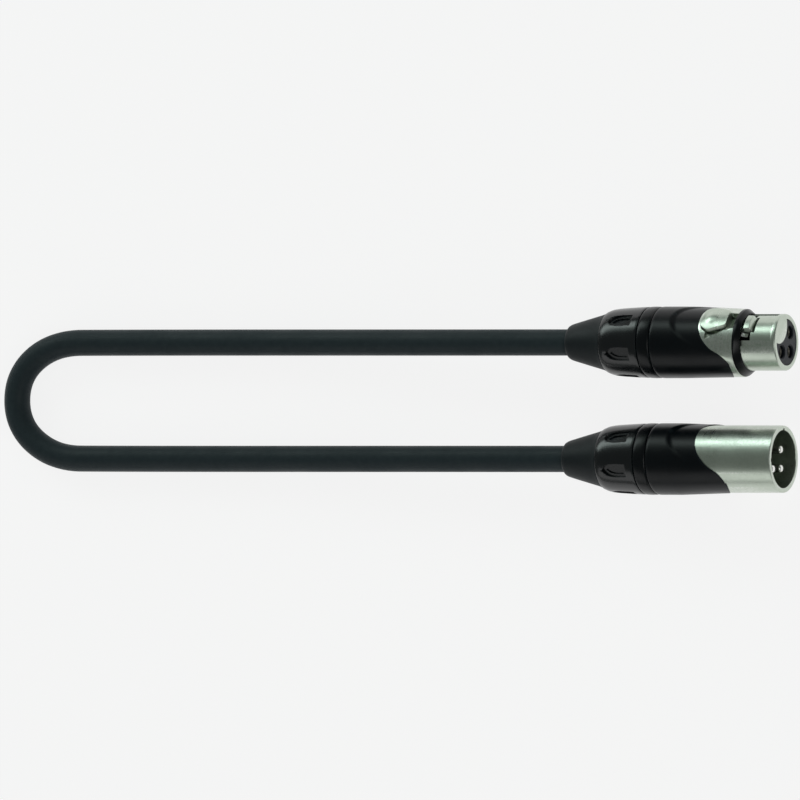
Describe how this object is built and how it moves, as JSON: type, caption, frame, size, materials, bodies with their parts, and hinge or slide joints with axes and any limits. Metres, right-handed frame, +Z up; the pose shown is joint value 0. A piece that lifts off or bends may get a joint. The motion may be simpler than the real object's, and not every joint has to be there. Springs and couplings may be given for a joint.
{
  "type": "balanced microphone lead",
  "caption": "Short microphone lead laid in a single U: a latching socket connector and a pin connector with lobed black grips over nickel shells, joined by one round jacketed cable.",
  "frame": {"origin": "under the middle of the two connectors, on the surface the lead lies on", "axes": "+X the way both connectors face, along their axes; +Y from the plug connector to the socket connector; +Z up from the surface"},
  "size_m": [0.2479, 0.0528, 0.0201],
  "materials": {
    "jacket": "matt extruded flexible PVC, blue-black",
    "boot_rubber": "matt moulded elastomer",
    "bushing_plastic": "smooth glossy moulded polyamide",
    "ring_plastic": "smooth moulded plastic",
    "grip_plastic": "satin moulded polyamide over the shell",
    "nickel": "satin nickel plate on zinc die casting",
    "insert_plastic": "matt glass-filled polyamide",
    "contact_metal": "bright silver plate",
    "clamp_plastic": "natural acetal",
    "core_red": "insulated core",
    "core_white": "insulated core",
    "drain_copper": "sleeved copper screen tail",
    "spring_steel": "spring steel strip"
  },
  "bodies": {
    "lead": {"cable": "jacket", "socket_marker_ring": "ring_plastic", "socket_grip": "grip_plastic", "socket_shell": "nickel", "socket_insert": "insert_plastic", "socket_contact_1": "contact_metal", "socket_contact_2": "contact_metal", "socket_contact_3": "contact_metal", "socket_cable_clamp": "clamp_plastic", "socket_core_1": "drain_copper", "socket_core_2": "core_red", "socket_core_3": "core_white", "plug_marker_ring": "ring_plastic", "plug_grip": "grip_plastic", "plug_shell": "nickel", "plug_insert": "insert_plastic", "plug_contact_1": "contact_metal", "plug_contact_2": "contact_metal", "plug_contact_3": "contact_metal", "plug_cable_clamp": "clamp_plastic", "plug_core_1": "drain_copper", "plug_core_2": "core_red", "plug_core_3": "core_white", "socket_nose_ring": "grip_plastic", "socket_latch_pin": "spring_steel", "socket_latch_spring": "spring_steel", "socket_earth_spring": "contact_metal"},
    "latch": {"socket_latch": "nickel"},
    "socket_boot_body": {"socket_boot": "boot_rubber"},
    "socket_bushing_body": {"socket_bushing": "bushing_plastic"},
    "plug_boot_body": {"plug_boot": "boot_rubber"},
    "plug_bushing_body": {"plug_bushing": "bushing_plastic"}
  },
  "joints": [
    {"name": "socket_boot_slide", "type": "slide", "parent": "lead", "child": "socket_boot_body", "axis": [-1, 0, 0], "range_m": [0, 0.0045]},
    {"name": "socket_bushing_turn", "type": "hinge", "parent": "socket_boot_body", "child": "socket_bushing_body", "pos_m": [-0.015, 0.01635, 0.01005], "axis": [-1, 0, 0], "range_deg": [0, 1080]},
    {"name": "plug_boot_slide", "type": "slide", "parent": "lead", "child": "plug_boot_body", "axis": [-1, 0, 0], "range_m": [0, 0.0045]},
    {"name": "plug_bushing_turn", "type": "hinge", "parent": "plug_boot_body", "child": "plug_bushing_body", "pos_m": [-0.0161, -0.01635, 0.01005], "axis": [-1, 0, 0], "range_deg": [0, 1080]},
    {"name": "latch_press", "type": "hinge", "parent": "lead", "child": "latch", "pos_m": [0.0135, 0.02114, 0.01501], "axis": [0, 0.7193, -0.6947], "range_deg": [0, 5.5], "stiffness_Nm_per_rad": 0.04, "springref_deg": -14.32, "deforming": ["socket_latch_spring"]}
  ],
  "couplings": [
    {"joint": "socket_bushing_turn", "follows": "socket_boot_slide", "rad_per_m": 4188.8},
    {"joint": "plug_bushing_turn", "follows": "plug_boot_slide", "rad_per_m": 4188.8}
  ]
}
